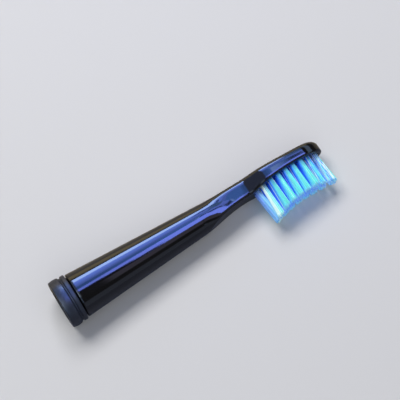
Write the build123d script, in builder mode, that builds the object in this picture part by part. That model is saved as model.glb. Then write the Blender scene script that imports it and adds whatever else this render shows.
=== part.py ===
from build123d import *

import os
from math import radians, sqrt, tan

# Brush head of an electric toothbrush, in millimetres. Each piece is drawn straight, with X along
# the tube from the base to the toe, Y towards the back and Z across, and is then laid on its side,
# where it rests on the base ring, the edge of the tuft plate and the tips of the tufts.

# Length from the base end to the toe
head_length = 86.8

# Base ring: a barrel-shaped band, a hollow groove and a narrow flange
ring_radius = 7.28
ring_band_length = 2.9
ring_band_crown = 0.15
ring_end_round = 0.3
ring_groove_length = 0.9
ring_groove_depth = 0.45
ring_flange_radius = 7.08
ring_flange_length = 1.1
ring_flange_bevel = 0.2
ring_lip = 1.2
ring_mouth_radius = 5.1
ring_clearance = 0.04
shadow_gap = 0.35

# Spigot under the ring, with a snap bead
spigot_radius = 5.9
spigot_wall = 1.0
bead_height = 0.3
bead_half_length = 0.5
bead_from_shoulder = 1.7

# Tapered tube
tube_base_radius = 6.76
tube_top_radius = 4.33
tube_wall = 1.5
tube_end_wall = 3.0
tube_shoulder_bevel = 0.2

# Neck: the round tube blends into a flat-sided section
blend_length = 11.5
blend_lead = 2.5
neck_length = 3.2
neck_half_width = 3.5
neck_back = 3.65
back_edge_radius = 1.9

# Bristle side: a scoop under the neck and the long hollow of the tuft face, which meet in a heel
scoop_radius = 44.0
scoop_end_slope = 3.0
heel_from_neck_end = 2.9
heel_round = 4.0
face_depth = 0.65
face_radius = 65.0
face_crest_from_heel = 12.8
face_edge_radius = 0.55

# Tuft plate
plate_back_fall = 1.1
flare_length = 9.5
flare_share = 0.4
toe_round_length = 5.5
heel_margin = 3.7
toe_margin = 2.55
edge_margin = 1.75

# Tufts, row by row from heel to toe, spread apart, leaning to the heel and trimmed to a hollow arc
tufts_in_rows = (2, 3, 4, 4, 4, 4, 4, 3, 2)
heel_row_pitch = 2.15
row_pitch = 2.55
column_pitch = 2.3
tuft_sides = 12
hole_radius = 0.8
hole_depth = 2.0
tuft_clearance = 0.02
tip_gap = 0.06
fan_share = 0.1
tuft_lean = 1.0
trim_heel = 14.0
trim_low = 9.15
trim_toe = 11.1
trim_low_share = 0.61

# Metal plates that hold the folded filaments
anchor_thickness = 0.25
anchor_height = 1.3
anchor_lift = 0.5
anchor_angle = 30.0
anchor_clearance = 0.02

# Socket for the drive shaft: a round guide bore, then a narrower seat with a flat
socket_mouth = 1.6
socket_flange = 1.4
socket_end_wall = 1.5
socket_clearance = 0.05
barrel_wall = 1.2
rib_thickness = 1.2
rib_length = 21.0
shaft_bore_radius = 1.95
bore_lead_in = 0.5
guide_length = 11.0
shaft_seat_radius = 1.7
seat_flat = 1.2
seat_margin = 0.75

# Spring leaf that presses on the flat of the shaft
leaf_length = 10.0
leaf_width = 2.0
leaf_thickness = 0.3
leaf_bow = 0.5
leaf_press = 0.1
leaf_clearance = 0.05

# Places along the tube
rows = len(tufts_in_rows)
most_in_row = max(tufts_in_rows)
plate_length = heel_margin + heel_row_pitch + (rows - 2) * row_pitch + toe_margin
plate_half_width = (most_in_row - 1) / 2 * column_pitch + edge_margin
ring_band_middle = (ring_end_round + ring_band_length) / 2
ring_flange_start = ring_band_length + ring_groove_length
ring_length = ring_flange_start + ring_flange_length
shoulder = ring_length + shadow_gap
spigot_end = ring_lip + ring_clearance
bead_place = shoulder - bead_from_shoulder
neck_end = head_length - plate_length
neck_start = neck_end - neck_length
blend_start = neck_start - blend_length
toe_start = head_length - toe_round_length
cavity_end = blend_start - tube_end_wall
cavity_mouth_radius = spigot_radius - spigot_wall
bore_start = socket_mouth + bore_lead_in
guide_end = bore_start + guide_length
seat_length = leaf_length + 2 * seat_margin
socket_end = guide_end + seat_length + socket_end_wall

# Tufts spread across the plate and flare until their tips nearly meet
root_radius = hole_radius - tuft_clearance
tallest = max(trim_heel, trim_toe)
heel_step = sqrt(heel_row_pitch**2 + (column_pitch / 2) ** 2)
tip_pitch = min(row_pitch, heel_step, column_pitch * (1 + fan_share))
tip_radius = (tip_pitch - tip_gap) / 2
lean_rate = tan(radians(tuft_lean))
trim_arc = ThreePointArc(
    (0, trim_heel), (trim_low_share * plate_length, trim_low), (plate_length, trim_toe)
)

# Plane on the highest part of the bristle face: local x towards the toe, local z along the tufts
face = Plane(origin=(neck_end, -face_depth, 0), x_dir=(1, 0, 0), z_dir=(0, -1, 0))
face_crest = heel_from_neck_end + face_crest_from_heel


def row_place(row):
    """Distance of a row of tufts from the neck."""
    if row == 0:
        return heel_margin
    return heel_margin + heel_row_pitch + (row - 1) * row_pitch


def face_rise_at(along):
    """Height of the hollow bristle face over its plane."""
    return face_radius - sqrt(face_radius**2 - (along - face_crest) ** 2)


def mouth_rise_at(along):
    """Height of the highest point on the rim of a tuft's hole."""
    return face_rise_at(face_crest + abs(along - face_crest) + hole_radius)


# Places of the tufts on that plane
tuft_places = {}
for row, count in enumerate(tufts_in_rows):
    for column in range(count):
        across = (column - (count - 1) / 2) * column_pitch
        tuft_places[f"tuft_row{row + 1}_{column + 1}"] = (row_place(row), across)


def tube_radius_at(x):
    """Outer radius of the tapered tube."""
    share = (x - shoulder) / (blend_start - shoulder)
    return tube_base_radius + share * (tube_top_radius - tube_base_radius)


def cavity_radius_at(x):
    """Radius of the tapered hollow in the tube."""
    share = (x - spigot_end) / (cavity_end - spigot_end)
    end_radius = tube_radius_at(cavity_end) - tube_wall
    return cavity_mouth_radius + share * (end_radius - cavity_mouth_radius)


def hole_floor(place):
    """Plane at the bottom of a tuft's hole, facing out of it."""
    bottom = face.from_local_coords((*place, -hole_depth))
    return Plane(origin=bottom, x_dir=face.x_dir, z_dir=face.z_dir)


def trim_height_at(along):
    """Height of the trimming arc over the face."""
    centre = trim_arc.arc_center
    return centre.Y - sqrt(trim_arc.radius**2 - (along - centre.X) ** 2)


def resting_floor():
    """Plane under the ring's crown, the plate's edge and the tips of the outer tufts."""
    last_full_row = max(row for row, count in enumerate(tufts_in_rows) if count == most_in_row)
    tip_place = row_place(last_full_row)
    tip_height = trim_height_at(tip_place)
    mouth_rise = mouth_rise_at(tip_place)
    tip_share = (tip_height - mouth_rise) / (tallest - mouth_rise)
    outer_place = (most_in_row - 1) / 2 * column_pitch * (1 + fan_share * tip_share)
    tip_reach = outer_place + root_radius + (tip_radius - root_radius) * tip_share
    leaned_place = tip_place - lean_rate * tip_height
    tip = face.from_local_coords((leaned_place, -tip_reach, tip_height))
    edge_run = toe_start - neck_end
    edge_rise = face_rise_at(edge_run) - face_edge_radius
    edge = face.from_local_coords((edge_run, -plate_half_width, edge_rise))
    # The floor's normal (slope, roll, 1) gives all three the same height
    run = (edge.X - ring_band_middle, tip.X - edge.X)
    side = (edge.Y, tip.Y - edge.Y)
    rise = (-edge.Z - ring_radius, edge.Z - tip.Z)
    scale = run[0] * side[1] - run[1] * side[0]
    slope = (rise[0] * side[1] - rise[1] * side[0]) / scale
    roll = (run[0] * rise[1] - run[1] * rise[0]) / scale
    return Plane(origin=(bore_start, 0, 0), x_dir=(1, 0, -slope), z_dir=(slope, roll, 1))


floor = resting_floor()
os.makedirs("parts", exist_ok=True)


def lay_down(piece, name):
    """Lay one finished piece on the floor, name it and write it."""
    piece.part = floor.to_local_coords(piece.part)
    piece.part.label = name
    export_step(piece.part, f"parts/{name}.step")


# Glossy body: tube, neck and tuft plate in one moulding
with BuildPart() as brush_body:
    # Outline of the tuft plate, through the whole thickness
    flare_end = neck_end + flare_length
    flare_bend = (
        neck_end + flare_share * flare_length,
        neck_half_width + flare_share * (plate_half_width - neck_half_width),
    )
    with BuildSketch(Plane.XZ.offset(-neck_back)):
        with BuildLine():
            TangentArc((neck_end, neck_half_width), flare_bend, tangent=(1, 0))
            TangentArc((flare_end, plate_half_width), flare_bend, tangent=(-1, 0))
            Line((flare_end, plate_half_width), (toe_start, plate_half_width))
            EllipticalCenterArc((toe_start, 0), toe_round_length, plate_half_width, arc_size=90)
            Polyline((head_length, 0), (neck_end, 0), (neck_end, neck_half_width))
        make_face()
        mirror(about=Plane.XZ)
    extrude(amount=2 * neck_back)

    # The back of the plate falls away towards the toe and has a round edge
    with BuildSketch(Plane.XY):
        with BuildLine():
            back_line = TangentArc(
                (neck_end, neck_back), (head_length, neck_back - plate_back_fall), tangent=(1, 0)
            )
            Polyline(
                back_line @ 1,
                (head_length, -neck_back),
                (neck_end, -neck_back),
                back_line @ 0,
            )
        make_face()
    extrude(amount=plate_half_width, both=True, mode=Mode.INTERSECT)
    back_face = brush_body.faces().sort_by(Axis.Y)[-1]
    fillet(back_face.edges().sort_by(Axis.X)[1:], back_edge_radius)

    # Flat-sided neck, blended from the round tube; its lower half is cut away by the scoop
    for x in (blend_start, blend_start + blend_lead):
        with BuildSketch(Plane.YZ.offset(x)):
            Circle(tube_radius_at(x))
    for x in (neck_start, neck_end):
        with BuildSketch(Plane.YZ.offset(x)):
            with Locations((-back_edge_radius / 2, 0)):
                RectangleRounded(
                    2 * neck_back + back_edge_radius, 2 * neck_half_width, back_edge_radius
                )
    loft()

    # Tapered tube, and the spigot for the ring with its snap bead
    with BuildSketch(Plane.XY):
        with BuildLine():
            Polyline(
                (spigot_end, 0),
                (spigot_end, spigot_radius),
                (bead_place - bead_half_length, spigot_radius),
                (bead_place, spigot_radius + bead_height),
                (bead_place + bead_half_length, spigot_radius),
                (shoulder, spigot_radius),
                (shoulder, tube_base_radius),
                (blend_start, tube_top_radius),
                (blend_start, 0),
                close=True,
            )
        make_face()
    revolve(axis=Axis.X)
    shoulder_edge = brush_body.edges().sort_by_distance((shoulder, tube_base_radius, 0))[0]
    chamfer(shoulder_edge, tube_shoulder_bevel)

    # Scoop and hollow bristle face in one cut, with a round heel between them and a soft rim
    heel = face.from_local_coords((heel_from_neck_end, 0, face_rise_at(heel_from_neck_end)))
    crest = face.from_local_coords((face_crest, 0, 0))
    beyond_toe = 2 * crest.X - heel.X
    scoop_start = Vector(-1, tan(radians(scoop_end_slope)))
    with BuildSketch(Plane.XY) as cut:
        with BuildLine():
            hollow = ThreePointArc((beyond_toe, heel.Y), crest, heel)
            scoop = JernArc(heel, scoop_start, scoop_radius, 90)
            Polyline(scoop @ 1, (beyond_toe, (scoop @ 1).Y), (beyond_toe, heel.Y))
        make_face()
        fillet(cut.vertices().sort_by_distance(heel)[0], heel_round)
    extrude(amount=tube_base_radius, both=True, mode=Mode.SUBTRACT)
    on_cut = (hollow @ 0.5, heel, scoop @ 0.1)
    cut_faces = [brush_body.faces().sort_by_distance(point)[0] for point in on_cut]
    rim = ShapeList(edge for side in cut_faces for edge in side.edges())
    fillet(rim.filter_by(Axis.Z, reverse=True), face_edge_radius)

    # Tapered hollow
    with BuildSketch(Plane.XY):
        with BuildLine():
            Polyline(
                (spigot_end, 0),
                (spigot_end, cavity_mouth_radius),
                (cavity_end, cavity_radius_at(cavity_end)),
                (cavity_end, 0),
                close=True,
            )
        make_face()
    revolve(axis=Axis.X, mode=Mode.SUBTRACT)

    # Blind holes for the tufts, all to the same level
    with BuildSketch(face.offset(-hole_depth)):
        with Locations(*tuft_places.values()):
            Circle(hole_radius)
    extrude(amount=hole_depth + face_rise_at(heel_from_neck_end), mode=Mode.SUBTRACT)
lay_down(brush_body, "brush_body")

# Satin ring that snaps over the spigot
with BuildPart() as base_ring:
    band_edge = ring_radius - ring_band_crown
    groove_middle = ring_band_length + ring_groove_length / 2
    seat_radius = spigot_radius + ring_clearance
    with BuildSketch(Plane.XY):
        with BuildLine():
            band = ThreePointArc(
                (ring_end_round, band_edge),
                (ring_band_middle, ring_radius),
                (ring_band_length, band_edge),
            )
            corner = band @ 0 - (band % 0) * (ring_end_round / (band % 0).X)
            end_round = Bezier((0, corner.Y - ring_end_round), corner, band @ 0)
            groove = Bezier(
                band @ 1,
                (groove_middle, band_edge - 2 * ring_groove_depth),
                (ring_flange_start, ring_flange_radius),
            )
            Polyline(
                groove @ 1,
                (ring_length, ring_flange_radius),
                (ring_length, seat_radius),
                (bead_place + bead_half_length, seat_radius),
                (bead_place, seat_radius + bead_height),
                (bead_place - bead_half_length, seat_radius),
                (ring_lip, seat_radius),
                (ring_lip, ring_mouth_radius),
                (0, ring_mouth_radius),
                end_round @ 0,
            )
        make_face()
    revolve(axis=Axis.X)
    flange_edge = base_ring.edges().sort_by_distance((ring_length, ring_flange_radius, 0))[0]
    chamfer(flange_edge, ring_flange_bevel)
lay_down(base_ring, "base_ring")

# Ribbed hub in the hollow of the tube
leaf_crest = seat_flat - leaf_press
leaf_back = leaf_crest + leaf_bow + leaf_thickness
leaf_middle = guide_end + seat_length / 2
with BuildPart() as shaft_socket:
    mouth = Plane.YZ.offset(socket_mouth)
    barrel_radius = shaft_bore_radius + barrel_wall
    with BuildSketch(mouth):
        Circle(cavity_mouth_radius)
    extrude(amount=socket_flange)
    with BuildSketch(mouth):
        Circle(barrel_radius)
    extrude(amount=socket_end - socket_mouth)
    with BuildSketch(mouth):
        Rectangle(2 * cavity_mouth_radius, rib_thickness)
        Rectangle(rib_thickness, 2 * cavity_mouth_radius)
    extrude(amount=rib_length)

    # Flange and ribs stop just short of the wall of the hollow
    with BuildSketch(Plane.XY):
        with BuildLine():
            Polyline(
                (socket_mouth, 0),
                (socket_mouth, cavity_radius_at(socket_mouth) - socket_clearance),
                (socket_end, cavity_radius_at(socket_end) - socket_clearance),
                (socket_end, 0),
                close=True,
            )
        make_face()
    revolve(axis=Axis.X, mode=Mode.INTERSECT)

    # Guide bore with its lead-in, the seat with a flat, and the pocket of the leaf behind it
    with BuildSketch(mouth):
        Circle(shaft_bore_radius)
    extrude(amount=guide_end - socket_mouth, mode=Mode.SUBTRACT)
    mouth_edge = shaft_socket.edges().sort_by_distance((socket_mouth, shaft_bore_radius, 0))[0]
    chamfer(mouth_edge, bore_lead_in)
    with BuildSketch(Plane.YZ.offset(guide_end)):
        Circle(shaft_seat_radius)
        with Locations((seat_flat, 0)):
            Rectangle(
                shaft_seat_radius,
                2 * shaft_seat_radius,
                align=(Align.MIN, Align.CENTER),
                mode=Mode.SUBTRACT,
            )
    extrude(amount=seat_length, mode=Mode.SUBTRACT)
    with BuildSketch(Plane.XY):
        with Locations((leaf_middle, 0)):
            Rectangle(
                leaf_length + 2 * leaf_clearance,
                leaf_back + leaf_clearance,
                align=(Align.CENTER, Align.MIN),
            )
    extrude(amount=leaf_width / 2 + leaf_clearance, both=True, mode=Mode.SUBTRACT)
lay_down(shaft_socket, "shaft_socket")

# Bowed spring leaf that grips the flat of the shaft
with BuildPart() as retaining_clip:
    leaf_start = leaf_middle - leaf_length / 2
    leaf_end = leaf_middle + leaf_length / 2
    with BuildSketch(Plane.XY):
        with BuildLine():
            front = ThreePointArc(
                (leaf_start, leaf_crest + leaf_bow),
                (leaf_middle, leaf_crest),
                (leaf_end, leaf_crest + leaf_bow),
            )
            back = ThreePointArc(
                (leaf_start, leaf_back),
                (leaf_middle, leaf_crest + leaf_thickness),
                (leaf_end, leaf_back),
            )
            Line(front @ 0, back @ 0)
            Line(front @ 1, back @ 1)
        make_face()
    extrude(amount=leaf_width / 2, both=True)
lay_down(retaining_clip, "retaining_clip")

# Metal plates across the holes, one for each tuft
with BuildPart() as tuft_anchors:
    anchor_length = 2 * sqrt(hole_radius**2 - (anchor_thickness / 2) ** 2) - 2 * anchor_clearance
    for place in tuft_places.values():
        with BuildSketch(hole_floor(place).offset(anchor_lift)):
            Rectangle(anchor_length, anchor_thickness, rotation=anchor_angle)
    extrude(amount=anchor_height)
lay_down(tuft_anchors, "tuft_anchors")

# Tufts of nylon filament: a straight root in the hole, a flare, and tips on the trimming arc
trim_side = Plane(origin=face.origin, x_dir=face.x_dir, z_dir=-face.y_dir)
for name, place in tuft_places.items():
    with BuildPart() as tuft:
        floor_of_hole = hole_floor(place)
        with BuildSketch(floor_of_hole):
            RegularPolygon(root_radius, tuft_sides)
        root_length = hole_depth + mouth_rise_at(place[0])
        extrude(amount=root_length)
        with BuildSketch(floor_of_hole.offset(root_length)):
            RegularPolygon(root_radius, tuft_sides)
        with BuildSketch(floor_of_hole.offset(hole_depth + tallest)):
            with Locations((-lean_rate * tallest, fan_share * place[1])):
                RegularPolygon(tip_radius, tuft_sides)
        loft(ruled=True)
        with BuildSketch(trim_side):
            with BuildLine():
                add(trim_arc)
                Polyline(
                    (plate_length, trim_toe),
                    (plate_length, -hole_depth),
                    (0, -hole_depth),
                    (0, trim_heel),
                )
            make_face()
        extrude(amount=plate_half_width * (1 + fan_share), both=True, mode=Mode.INTERSECT)

        # Slot in the folded root for its metal plate
        with BuildSketch(floor_of_hole.offset(anchor_lift)):
            Rectangle(
                2 * hole_radius, anchor_thickness + 2 * anchor_clearance, rotation=anchor_angle
            )
        extrude(amount=anchor_height + anchor_clearance, mode=Mode.SUBTRACT)
    lay_down(tuft, name)
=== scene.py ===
import math
import random

import bpy
from mathutils import Matrix, Vector


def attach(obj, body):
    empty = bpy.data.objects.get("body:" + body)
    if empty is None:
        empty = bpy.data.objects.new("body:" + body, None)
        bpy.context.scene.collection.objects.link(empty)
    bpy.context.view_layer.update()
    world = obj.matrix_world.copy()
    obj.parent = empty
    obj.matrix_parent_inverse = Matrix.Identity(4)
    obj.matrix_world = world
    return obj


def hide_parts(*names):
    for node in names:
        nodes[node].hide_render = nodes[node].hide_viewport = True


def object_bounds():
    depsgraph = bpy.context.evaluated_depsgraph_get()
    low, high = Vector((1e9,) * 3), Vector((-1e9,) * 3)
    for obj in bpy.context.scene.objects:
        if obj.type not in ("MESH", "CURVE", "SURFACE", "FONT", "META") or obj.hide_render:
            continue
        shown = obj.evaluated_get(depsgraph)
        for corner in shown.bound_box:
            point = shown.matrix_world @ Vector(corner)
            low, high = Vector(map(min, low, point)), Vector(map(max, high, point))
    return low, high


# Brush head of an electric toothbrush, lying on a pale floor and seen from above. Lengths are in
# metres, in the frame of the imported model: X from base to toe, tufts towards -Y, Z up.

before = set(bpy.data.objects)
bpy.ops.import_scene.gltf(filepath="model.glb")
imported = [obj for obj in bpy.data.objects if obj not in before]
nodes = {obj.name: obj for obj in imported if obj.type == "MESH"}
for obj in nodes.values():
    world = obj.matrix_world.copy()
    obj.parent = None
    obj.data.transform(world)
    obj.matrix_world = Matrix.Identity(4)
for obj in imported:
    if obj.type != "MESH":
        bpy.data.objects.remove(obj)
cad_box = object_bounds()
mm = 0.001

# Camera: direction it looks from, turn about its line of sight, angle of view
view_azimuth = math.radians(-24.23)
view_elevation = math.radians(70.57)
view_turn = math.radians(-8.55)
view_angle = math.radians(16.416)
view_distance = 394.9 * mm
view_target = Vector((47.12, 5.03, 0.01)) * mm
nearest_seen = 10 * mm

# How a tuft is found in its CAD solid
least_hole_depth = 1.9 * mm
same_ring = 0.05 * mm
least_facing = 0.5

# Shape of the filaments. A rise is a share of the way from the mouth of the hole to the tips.
filaments_in_tuft = 84
filament_radius = 0.105 * mm
filament_sides = 5
filament_rings = (-0.06, 0.06, 0.3, 0.55, 0.8, 0.93, 0.98)
tip_taper = 0.7
golden_turn = math.pi * (3 - math.sqrt(5))
turn_jitter = 0.15
loose_lean = 0.07 * mm
end_lean_share = 0.7
bow_share = 0.5
uneven_trim = 0.6 * mm
trim_range = (-0.1, 1)
box_margin = 1.5 * filament_radius
draw_seed = 7

# Differences between the rows, which count from the heel
tip_spread = 1.2
tip_spread_by_row = {1: 0.95}
tip_shift = {1: Vector((1.35, 0.85, 0.0)) * mm, 9: Vector((0.4, 0.0, 0.0)) * mm}
strand_twist = {8: 0.7, 9: 0.9}

# Dye of the filaments: share of pale strands and how pale they are, share of blue strands and the cyan
# left in them, cyan of a row's outer tufts
pale_share = {1: 1.0, 2: 0.75, 8: 0.35, 9: 0.4}
pale_share_elsewhere = 0.06
pale_depth = {1: (0.05, 0.3), 8: (0.4, 1.0), 9: (0.4, 1.0)}
pale_depth_elsewhere = (0.45, 1.0)
blue_share = {8: 0.3, 9: 0.45}
cyan_in_blue = 0.15
cyan_share = {1: 0.5}

# Blue on the heel side of each tuft: it ends at a place across the tuft and thins out above a rise
heel_side_start = -0.85
heel_side_fade = 0.5
heel_side_cyan = 0.2
heel_side_top = 0.3

# Blue tips: rise where they start on the highest tuft of a row and on the others, and their strength
tip_start_highest = 0.93
tip_start_elsewhere = 0.8
tip_fade = 0.05
blue_tip_depth = {1: (0.0, 0.35), 2: (0.0, 0.5)}
blue_tip_depth_elsewhere = (0.35, 1.0)

# Colours of the finishes
shell_black = (0.003, 0.003, 0.004, 1.0)
ring_black = (0.010, 0.013, 0.023, 1.0)
socket_grey = (0.075, 0.076, 0.08, 1.0)
steel_grey = (0.55, 0.55, 0.56, 1.0)
brass_yellow = (0.72, 0.56, 0.30, 1.0)
# Painted shade: the outer filaments' cyan made darker and bluer at the roots, next to the plate
nylon_root_painted_shade = (0.05, 0.24, 0.55, 1.0)
nylon_cyan = (0.17, 0.80, 0.78, 1.0)
nylon_blue = (0.035, 0.2, 0.95, 1.0)
# Painted shade: the inner filaments' blue made a little darker at the roots
nylon_blue_root_painted_shade = (0.02, 0.15, 0.95, 1.0)
nylon_tip = (0.30, 0.62, 1.0, 1.0)
nylon_pale = (0.80, 0.97, 0.92, 1.0)

# Textures of the finishes
bevel_samples = 16
smudge_detail = 4.0
grain_detail = 2.0
rolling_scale = (300.0, 9000.0, 9000.0)
rolling_roughness = 0.1
nylon_roughness = 0.35
# Painted glow: the filaments emit light in their own colour, standing in for light passing through the
# nylon
nylon_painted_glow = 0.2

# Floor: the gloss sees it in two colours, behind the brush and before it, which are painted reflections in
# place of its own colour
floor_half = 3.0
floor_roughness = 0.75
floor_colour = (0.68, 0.68, 0.68, 1.0)
floor_painted_reflection_behind = (0.40, 0.34, 0.22, 1.0)
floor_painted_reflection_before = (0.22, 0.23, 0.29, 1.0)
floor_blend_half = 5 * mm

# Light of the studio. Lamps light the surfaces, and cards show only in the gloss.
sky_colour = (0.74, 0.75, 0.78, 1.0)
sky_strength = 0.12
lamp_distance = 0.8
card_distance = 0.4

# Each lamp or card is given by its name, colour, radiance, tilts and reach. The tilts are in degrees from
# straight above towards the back, and the reach is a pair of places along X.
lamps = (
    ("soft_key", (1.0, 0.98, 0.96), 8.9, (19, 43), (-0.25, 0.35)),
    ("soft_fill", (0.97, 0.98, 1.0), 0.65, (-62, -6), (-0.5, 0.6)),
)

# Where cards meet: the side of the tuft plate mirrors those between the plate's tilts and ends
tube_start = 0.06
tube_end = 0.182
cards_end = 0.2
plate_start = 0.163
plate_end = 0.1885
plate_front = 8.4
plate_back = 13.8
edge_back = 6
along_tube = (tube_start, tube_end)
past_tube = (tube_end, cards_end)
beside_plate = (plate_start, tube_end)
plate_tilts = (plate_front, plate_back)

# Cards of the front streak, in steps that grow brighter and reach further forward towards the toe
edge_blue = (0.18, 0.26, 1.0)
edge_steps = 5
edge_step = 0.02
edge_radiance = (11, 18)
edge_front = -4
edge_growth = 15

# The other cards
dark_blue = (0.11, 0.30, 1.0)
neck_blue = (0.17, 0.27, 1.0)
sky_blue = (0.16, 0.28, 1.0)
toe_blue = (0.18, 0.40, 1.0)
end_blue = (0.45, 0.65, 1.0)
cards = (
    ("sky_dark", dark_blue, 4.0, (edge_back, 20), (tube_start, 0.105)),
    ("sky_dark", dark_blue, 5.0, (edge_back, 20), (0.105, 0.135)),
    ("sky_dark", dark_blue, 6.4, (edge_back, 20), (0.135, plate_start)),
    ("sky_dark", dark_blue, 6.4, (edge_back, plate_front), beside_plate),
    ("sky_dark", dark_blue, 6.4, (plate_back, 20), beside_plate),
    ("plate_heel", (0.28, 0.45, 1.0), 10.5, plate_tilts, (plate_start, 0.172)),
    ("plate_middle", (0.12, 0.30, 1.0), 6.8, plate_tilts, (0.172, 0.1775)),
    ("plate_toe", (0.08, 0.33, 1.0), 0.5, plate_tilts, (0.1775, plate_end)),
    ("neck_blue", neck_blue, 10.0, plate_tilts, (plate_end, cards_end)),
    ("neck_blue", neck_blue, 10.0, (edge_back, plate_front), past_tube),
    ("neck_blue", neck_blue, 10.0, (plate_back, 22), past_tube),
    ("sky_blue", sky_blue, 7.5, (20, 28), along_tube),
    ("sky_blue", sky_blue, 10.5, (28, 36), along_tube),
    ("sky_blue", sky_blue, 13.0, (43, 47), along_tube),
    ("sky_blue", sky_blue, 13.0, (36, 43), (tube_start, 0.155)),
    ("sky_blue", sky_blue, 3.5, (36, 43), (0.155, tube_end)),
    ("back_edge", (0.35, 0.51, 1.0), 20.0, (47, 63), along_tube),
    ("sky_toe", toe_blue, 4.0, (22, 40), past_tube),
    ("sky_toe", toe_blue, 2.6, (40, 63), past_tube),
    ("sky_base", (0.40, 0.52, 1.0), 0.75, (-5, 69), (-0.12, tube_start)),
    ("ring_card", (0.62, 0.76, 1.0), 2.5, (-34, -6), (-0.02, 0.052)),
    ("ring_soft", (0.75, 0.86, 1.0), 4.5, (-30, 8), (-0.36, -0.11)),
    ("warm_card", (1.0, 0.84, 0.48), 1.4, (70, 100), (-0.2, 0.4)),
    ("front_card", (0.75, 0.7, 1.0), 0.7, (-44, -20), (0.1, tube_end)),
    ("toe_end_soft", end_blue, 2.0, (-65, 65), (0.34, 0.75)),
    ("base_end_soft", end_blue, 2.0, (-65, 65), (-0.6, -0.15)),
    ("front_low", (0.62, 0.72, 1.0), 0.45, (-92, -66), (-0.2, 0.4)),
)


def place_camera():
    """Camera at the photograph's viewing angle."""
    back = Vector(
        (
            math.sin(view_azimuth) * math.cos(view_elevation),
            -math.cos(view_azimuth) * math.cos(view_elevation),
            math.sin(view_elevation),
        )
    )
    level = Vector((math.cos(view_azimuth), math.sin(view_azimuth), 0.0))
    right = level * math.cos(view_turn) + back.cross(level) * math.sin(view_turn)
    up = back.cross(right)
    camera_data = bpy.data.cameras.new("camera")
    camera_data.sensor_fit = "HORIZONTAL"
    camera_data.angle = view_angle
    camera_data.clip_start = nearest_seen
    camera = bpy.data.objects.new("camera", camera_data)
    placing = Matrix((right, up, back)).transposed().to_4x4()
    placing.translation = view_target + back * view_distance
    camera.matrix_world = placing
    bpy.context.scene.collection.objects.link(camera)
    bpy.context.scene.camera = camera


def add_panel(name, colour, radiance, tilts, reach, distance, seen_by):
    """Rectangular light at a distance from the X axis, seen only by diffuse or only by glossy rays."""
    tilt = math.radians(sum(tilts) / 2)
    light = bpy.data.lights.new(name, "AREA")
    light.shape = "RECTANGLE"
    light.size = reach[1] - reach[0]
    light.size_y = 2 * distance * math.tan(math.radians(tilts[1] - tilts[0]) / 2)
    light.color = colour
    light.energy = radiance * math.pi * light.size * light.size_y
    panel = bpy.data.objects.new(name, light)
    way = Vector((0.0, math.sin(tilt), math.cos(tilt)))
    side = Vector((1.0, 0.0, 0.0))
    placing = Matrix((side, way.cross(side), way)).transposed().to_4x4()
    placing.translation = way * distance + side * (sum(reach) / 2)
    panel.matrix_world = placing
    panel.visible_diffuse = seen_by == "diffuse"
    panel.visible_glossy = seen_by == "glossy"
    bpy.context.scene.collection.objects.link(panel)


def front_edge_card(step):
    """Name, colour, radiance, tilts and reach of one card of the front streak."""
    share = step / (edge_steps - 1)
    radiance = edge_radiance[0] + (edge_radiance[1] - edge_radiance[0]) * share
    tilts = (edge_front - edge_growth * share**2, edge_back)
    start = tube_start + edge_step * step
    end = cards_end if share == 1 else start + edge_step
    return f"front_edge_{step}", edge_blue, radiance, tilts, (start, end)


def light_studio():
    """Soft white light from above, and the cards that show as streaks in the gloss."""
    world = bpy.data.worlds.new("studio")
    world.use_nodes = True
    sky = world.node_tree.nodes["Background"]
    sky.inputs["Color"].default_value = sky_colour
    sky.inputs["Strength"].default_value = sky_strength
    bpy.context.scene.world = world
    for lamp in lamps:
        add_panel(*lamp, lamp_distance, "diffuse")
    for step in range(edge_steps):
        add_panel(*front_edge_card(step), card_distance, "glossy")
    for card in cards:
        add_panel(*card, card_distance, "glossy")


def new_material(name):
    """Empty node material; returns it with its node tree and its Principled shader."""
    material = bpy.data.materials.new(name)
    material.use_nodes = True
    return material, material.node_tree, material.node_tree.nodes["Principled BSDF"]


def mix_node(tree, blend, low, high):
    """Mix node for two colours, each a value or a socket; returns it with its colour output."""
    mix = tree.nodes.new("ShaderNodeMix")
    mix.data_type = "RGBA"
    mix.blend_type = blend
    places = [s for s in mix.inputs if s.type == "RGBA"]
    for socket, value in zip(places, (low, high)):
        if isinstance(value, bpy.types.NodeSocket):
            tree.links.new(value, socket)
        else:
            socket.default_value = value
    return mix, [s for s in mix.outputs if s.type == "RGBA"][0]


def mix_colours(tree, share, low, high):
    """Colour between two others, by a share."""
    mix, colour = mix_node(tree, "MIX", low, high)
    tree.links.new(share, mix.inputs["Factor"])
    return colour


def multiply_colours(tree, colour, tone):
    """Colour made lighter or darker by a tone."""
    mix, product = mix_node(tree, "MULTIPLY", colour, tone)
    mix.inputs["Factor"].default_value = 1.0
    return product


def read_attribute(tree, name):
    """Value of a filament attribute."""
    attribute = tree.nodes.new("ShaderNodeAttribute")
    attribute.attribute_name = name
    return attribute.outputs["Fac"]


def ramp(tree, value, low, high, start=0.0, end=1.0):
    """Value spread from low..high to start..end."""
    spread = tree.nodes.new("ShaderNodeMapRange")
    spread.inputs["From Min"].default_value = low
    spread.inputs["From Max"].default_value = high
    spread.inputs["To Min"].default_value = start
    spread.inputs["To Max"].default_value = end
    tree.links.new(value, spread.inputs["Value"])
    return spread.outputs["Result"]


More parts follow.
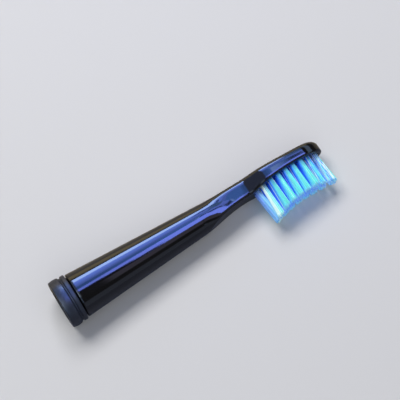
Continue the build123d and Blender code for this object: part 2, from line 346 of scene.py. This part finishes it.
def moulded_surface():
    """Node group for moulded plastic: grain as a height, smudges in the roughness, and a patchy tone."""
    group = bpy.data.node_groups.new("moulded_surface", "ShaderNodeTree")
    sockets = group.interface
    for name, start in (
        ("Roughness", 0.3),
        ("Smudge Amount", 0.1),
        ("Smudge Scale", 90.0),
        ("Grain Scale", 6000.0),
    ):
        socket = sockets.new_socket(name, in_out="INPUT", socket_type="NodeSocketFloat")
        socket.default_value = start
    for name in ("Roughness", "Height", "Tone"):
        sockets.new_socket(name, in_out="OUTPUT", socket_type="NodeSocketFloat")
    made = group.nodes
    wire = group.links.new
    given = made.new("NodeGroupInput")
    result = made.new("NodeGroupOutput")
    place = made.new("ShaderNodeTexCoord")
    smudge = made.new("ShaderNodeTexNoise")
    smudge.inputs["Detail"].default_value = smudge_detail
    centred = made.new("ShaderNodeMath")
    centred.operation = "SUBTRACT"
    centred.inputs[1].default_value = 0.5
    shift = made.new("ShaderNodeMath")
    shift.operation = "MULTIPLY_ADD"
    grain = made.new("ShaderNodeTexNoise")
    grain.inputs["Detail"].default_value = grain_detail
    wire(place.outputs["Object"], smudge.inputs["Vector"])
    wire(given.outputs["Smudge Scale"], smudge.inputs["Scale"])
    wire(smudge.outputs["Fac"], centred.inputs[0])
    wire(centred.outputs[0], shift.inputs[0])
    wire(given.outputs["Smudge Amount"], shift.inputs[1])
    wire(given.outputs["Roughness"], shift.inputs[2])
    wire(shift.outputs[0], result.inputs["Roughness"])
    wire(place.outputs["Object"], grain.inputs["Vector"])
    wire(given.outputs["Grain Scale"], grain.inputs["Scale"])
    wire(grain.outputs["Fac"], result.inputs["Height"])
    tone = ramp(group, smudge.outputs["Fac"], low=0.3, high=0.7, start=0.75, end=1.25)
    wire(tone, result.inputs["Tone"])
    return group


def moulded_plastic(name, colour, roughness, smudge, smudge_scale, grain_scale, grain_depth, rounding=0.0):
    """Moulded plastic with grain and smudges; rounding averages the normals so that no facets show."""
    material, tree, shader = new_material(name)
    surface = tree.nodes.new("ShaderNodeGroup")
    surface.node_tree = moulded
    surface.inputs["Roughness"].default_value = roughness
    surface.inputs["Smudge Amount"].default_value = smudge
    surface.inputs["Smudge Scale"].default_value = smudge_scale
    surface.inputs["Grain Scale"].default_value = grain_scale
    bump = tree.nodes.new("ShaderNodeBump")
    bump.inputs["Strength"].default_value = 1.0
    bump.inputs["Distance"].default_value = grain_depth
    if rounding:
        smooth = tree.nodes.new("ShaderNodeBevel")
        smooth.samples = bevel_samples
        smooth.inputs["Radius"].default_value = rounding
        tree.links.new(smooth.outputs["Normal"], bump.inputs["Normal"])
    tree.links.new(multiply_colours(tree, colour, surface.outputs["Tone"]), shader.inputs["Base Color"])
    tree.links.new(surface.outputs["Roughness"], shader.inputs["Roughness"])
    tree.links.new(surface.outputs["Height"], bump.inputs["Height"])
    tree.links.new(bump.outputs["Normal"], shader.inputs["Normal"])
    return material


def rolled_metal(name, colour, roughness):
    """Bare sheet metal with fine rolling lines."""
    material, tree, shader = new_material(name)
    shader.inputs["Base Color"].default_value = colour
    shader.inputs["Metallic"].default_value = 1.0
    place = tree.nodes.new("ShaderNodeTexCoord")
    stretch = tree.nodes.new("ShaderNodeMapping")
    stretch.inputs["Scale"].default_value = rolling_scale
    lines = tree.nodes.new("ShaderNodeTexNoise")
    lines.inputs["Scale"].default_value = 1.0
    tree.links.new(place.outputs["Object"], stretch.inputs["Vector"])
    tree.links.new(stretch.outputs["Vector"], lines.inputs["Vector"])
    smoothest = roughness - rolling_roughness
    roughest = roughness + rolling_roughness
    lined = ramp(tree, lines.outputs["Fac"], low=0.0, high=1.0, start=smoothest, end=roughest)
    tree.links.new(lined, shader.inputs["Roughness"])
    return material


def dyed_nylon_painted_light():
    """Nylon filament: blue inside the brush, cyan outside it, with some pale strands and blue tips;
    painted shade darkens the roots and a painted glow makes the filaments shine by themselves.
    """
    material, tree, shader = new_material("dyed_nylon_painted_light")
    rise = read_attribute(tree, "rise")
    # Painted shade: each colour darkens towards the roots
    outer_colour = mix_colours(tree, ramp(tree, rise, low=0.0, high=0.3), nylon_root_painted_shade, nylon_cyan)
    inner_colour = mix_colours(tree, ramp(tree, rise, low=0.05, high=0.6), nylon_blue_root_painted_shade, nylon_blue)
    dyed = mix_colours(tree, read_attribute(tree, "outer"), inner_colour, outer_colour)
    with_pale = mix_colours(tree, read_attribute(tree, "pale"), dyed, nylon_pale)
    with_tip = mix_colours(tree, read_attribute(tree, "tip"), with_pale, nylon_tip)
    tone = ramp(tree, read_attribute(tree, "tone"), low=0.0, high=1.0, start=0.8, end=1.0)
    colour = multiply_colours(tree, with_tip, tone)
    tree.links.new(colour, shader.inputs["Base Color"])
    # Painted glow: emission in the filament's colour, weaker at the roots and stronger above them
    glow = multiply_colours(tree, colour, ramp(tree, rise, low=0.0, high=0.25, start=0.7, end=1.4))
    tree.links.new(glow, shader.inputs["Emission Color"])
    shader.inputs["Emission Strength"].default_value = nylon_painted_glow
    shader.inputs["Roughness"].default_value = nylon_roughness
    return material


def width_of(corners):
    """Radius of a ring of corners, from its width along Z."""
    return (max(c.z for c in corners) - min(c.z for c in corners)) / 2


def tuft_shape(node):
    """Middle, radius and normal of a tuft where it leaves its hole and at its tips, from its CAD solid."""
    mesh = nodes[node].data
    corners = [v.co for v in mesh.vertices]
    base = max(mesh.polygons, key=lambda p: p.center.y)
    axis = -base.normal
    heights = [(c - base.center).dot(axis) for c in corners]
    mouth_height = min(h for h in heights if h > least_hole_depth)
    mouth = [c for c, h in zip(corners, heights) if abs(h - mouth_height) < same_ring]
    mouth_middle = sum(mouth, Vector()) / len(mouth)
    reach = max(heights)
    facing = [p for p in mesh.polygons if p.normal.dot(axis) > least_facing]
    cut = [p for p in facing if (p.center - base.center).dot(axis) > reach / 2]
    area = sum(p.area for p in cut)
    cut_middle = sum((p.center * p.area for p in cut), Vector()) / area
    cut_normal = sum((p.normal * p.area for p in cut), Vector()).normalized()
    tips = [corners[i] for p in cut for i in p.vertices]
    return (mouth_middle, width_of(mouth), axis), (cut_middle, width_of(tips), cut_normal)


def on_ring(middle, radius, normal, u, w):
    """Point of a tilted round section, u along X and w along Z as shares of its radius."""
    return middle + Vector((u, -(normal.x * u + normal.z * w) / normal.y, w)) * radius


def level_sway(chance):
    """Random step along X and Z."""
    return Vector((chance.uniform(-1, 1), 0, chance.uniform(-1, 1)))


def clamp(value, low, high):
    """Value kept between two limits."""
    return min(high, max(low, value))


def filament_faces(first):
    """Faces of the filament whose first corner has this number: walls, pointed tip and root."""
    faces = []
    last_ring = first + (len(filament_rings) - 1) * filament_sides
    sides = [(side, (side + 1) % filament_sides) for side in range(filament_sides)]
    for here in range(first, last_ring, filament_sides):
        above = here + filament_sides
        faces += [(here + side, here + after, above + after, above + side) for side, after in sides]
    point = last_ring + filament_sides
    faces += [(last_ring + side, last_ring + after, point) for side, after in sides]
    faces.append(tuple(first + side for side in reversed(range(filament_sides))))
    return faces


def make_tuft(node, row, cyan, tip_start, chance):
    """Bundle of separate filaments in the place of one CAD tuft."""
    (mouth, mouth_radius, axis), (tips, tips_radius, cut_normal) = tuft_shape(node)
    tips_radius *= tip_spread_by_row.get(row, tip_spread)
    tips += tip_shift.get(row, Vector())
    start_radius = mouth_radius - filament_radius
    end_radius = tips_radius - filament_radius - loose_lean
    pale_chance = pale_share.get(row, pale_share_elsewhere)
    pale_range = pale_depth.get(row, pale_depth_elsewhere)
    blue_chance = blue_share.get(row, 0.0)
    tip_range = blue_tip_depth.get(row, blue_tip_depth_elsewhere)
    vertices = []
    faces = []
    values = {"outer": [], "pale": [], "tone": [], "rise": [], "tip": []}
    for strand in range(filaments_in_tuft):
        out = math.sqrt((strand + 0.5) / filaments_in_tuft)
        turn = strand * golden_turn + chance.uniform(-turn_jitter, turn_jitter)
        u = out * math.cos(turn)
        w = out * math.sin(turn)
        start = on_ring(mouth, start_radius, axis, u, w)
        end_turn = turn + strand_twist.get(row, 0.0) * (-1) ** strand
        end = on_ring(tips, end_radius, cut_normal, out * math.cos(end_turn), out * math.sin(end_turn))
        end += level_sway(chance) * loose_lean * end_lean_share
        end.y += chance.uniform(*trim_range) * uneven_trim
        end.x = min(end.x, cad_box[1][0] - box_margin)
        end.z = max(end.z, cad_box[0][2] + box_margin)
        bow = level_sway(chance) * loose_lean * bow_share
        pale = chance.uniform(*pale_range) if chance.random() < pale_chance else 0.0
        tone = chance.random()
        tip_strength = chance.uniform(*tip_range)
        outer = cyan * (cyan_in_blue if chance.random() < blue_chance else 1.0)
        heel_side = 1 - clamp((u - heel_side_start) / heel_side_fade, heel_side_cyan, 1.0)
        faces += filament_faces(len(vertices))
        for rise in filament_rings:
            middle = start.lerp(end, rise) + bow * (4 * rise * (1 - rise))
            radius = filament_radius * (tip_taper if rise == filament_rings[-1] else 1.0)
            for side in range(filament_sides):
                angle = 2 * math.pi * side / filament_sides + turn
                vertices.append(middle + Vector((math.cos(angle), 0, math.sin(angle))) * radius)
            ring_values = {
                "outer": outer * (1 - heel_side * min(1.0, 1 + heel_side_top - rise)),
                "pale": pale,
                "tone": tone,
                "rise": rise,
                "tip": tip_strength * clamp((rise - tip_start) / tip_fade, 0.0, 1.0),
            }
            for name, value in ring_values.items():
                values[name] += [value] * filament_sides
        vertices.append(end)
        for name, value in {**ring_values, "rise": 1.0, "tip": tip_strength}.items():
            values[name].append(value)
    mesh = bpy.data.meshes.new(f"{node}_filaments")
    mesh.from_pydata(vertices, [], faces)
    for name, numbers in values.items():
        mesh.attributes.new(name, "FLOAT", "POINT").data.foreach_set("value", numbers)
    mesh.shade_smooth()
    mesh.materials.append(nylon)
    bundle = bpy.data.objects.new(f"{node}_filaments", mesh)
    bpy.context.scene.collection.objects.link(bundle)
    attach(bundle, "root")
    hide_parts(node)


def make_tufts():
    """All tufts, row by row: the lowest and the highest of a row are cyan, those between them are blue."""
    chance = random.Random(draw_seed)
    prefix = "tuft_row"
    rows = {}
    for node in nodes:
        if node.startswith(prefix):
            row = int(node[len(prefix):].split("_")[0])
            rows.setdefault(row, []).append(node)
    for row in sorted(rows):
        tufts = sorted(rows[row], key=lambda node: tuft_shape(node)[0][0].z)
        for node in tufts:
            is_outer = node in (tufts[0], tufts[-1])
            cyan = cyan_share.get(row, 1.0) if is_outer else 0.0
            tip_start = tip_start_highest if node == tufts[-1] else tip_start_elsewhere
            make_tuft(node, row, cyan, tip_start, chance)


def dress(node, material):
    """Give a CAD node its finish."""
    mesh = nodes[node].data
    mesh.materials.clear()
    mesh.materials.append(material)


def lay_floor():
    """Plain pale floor under the brush, which glossy rays see in painted reflection colours."""
    height = cad_box[0][2]
    signs = ((-1, -1), (1, -1), (1, 1), (-1, 1))
    corners = [(x * floor_half, y * floor_half, height) for x, y in signs]
    mesh = bpy.data.meshes.new("floor")
    mesh.from_pydata(corners, [], [(0, 1, 2, 3)])
    material, tree, shader = new_material("pale_floor")
    place = tree.nodes.new("ShaderNodeSeparateXYZ")
    tree.links.new(tree.nodes.new("ShaderNodeTexCoord").outputs["Object"], place.inputs["Vector"])
    behind = ramp(tree, place.outputs["Y"], low=-floor_blend_half, high=floor_blend_half)
    in_gloss = mix_colours(tree, behind, floor_painted_reflection_before, floor_painted_reflection_behind)
    # Painted reflection: glossy rays see the two gloss colours instead of the floor's own
    path = tree.nodes.new("ShaderNodeLightPath")
    seen = mix_colours(tree, path.outputs["Is Glossy Ray"], floor_colour, in_gloss)
    tree.links.new(seen, shader.inputs["Base Color"])
    shader.inputs["Roughness"].default_value = floor_roughness
    mesh.materials.append(material)
    floor = bpy.data.objects.new("floor", mesh)
    bpy.context.scene.collection.objects.link(floor)


bpy.context.scene.view_settings.view_transform = "Standard"
place_camera()
light_studio()
lay_floor()
moulded = moulded_surface()
nylon = dyed_nylon_painted_light()
gloss_shell = moulded_plastic(
    "gloss_shell",
    shell_black,
    roughness=0.065,
    smudge=0.04,
    smudge_scale=120.0,
    grain_scale=900.0,
    grain_depth=0.0008 * mm,
    rounding=1.0 * mm,
)
satin_ring = moulded_plastic(
    "satin_ring",
    ring_black,
    roughness=0.38,
    smudge=0.12,
    smudge_scale=250.0,
    grain_scale=9000.0,
    grain_depth=0.004 * mm,
)
socket_plastic = moulded_plastic(
    "socket_plastic",
    socket_grey,
    roughness=0.5,
    smudge=0.1,
    smudge_scale=300.0,
    grain_scale=7000.0,
    grain_depth=0.005 * mm,
)
dress("brush_body", gloss_shell)
dress("base_ring", satin_ring)
dress("shaft_socket", socket_plastic)
dress("retaining_clip", rolled_metal("spring_steel", steel_grey, roughness=0.32))
dress("tuft_anchors", rolled_metal("anchor_brass", brass_yellow, roughness=0.35))
make_tufts()
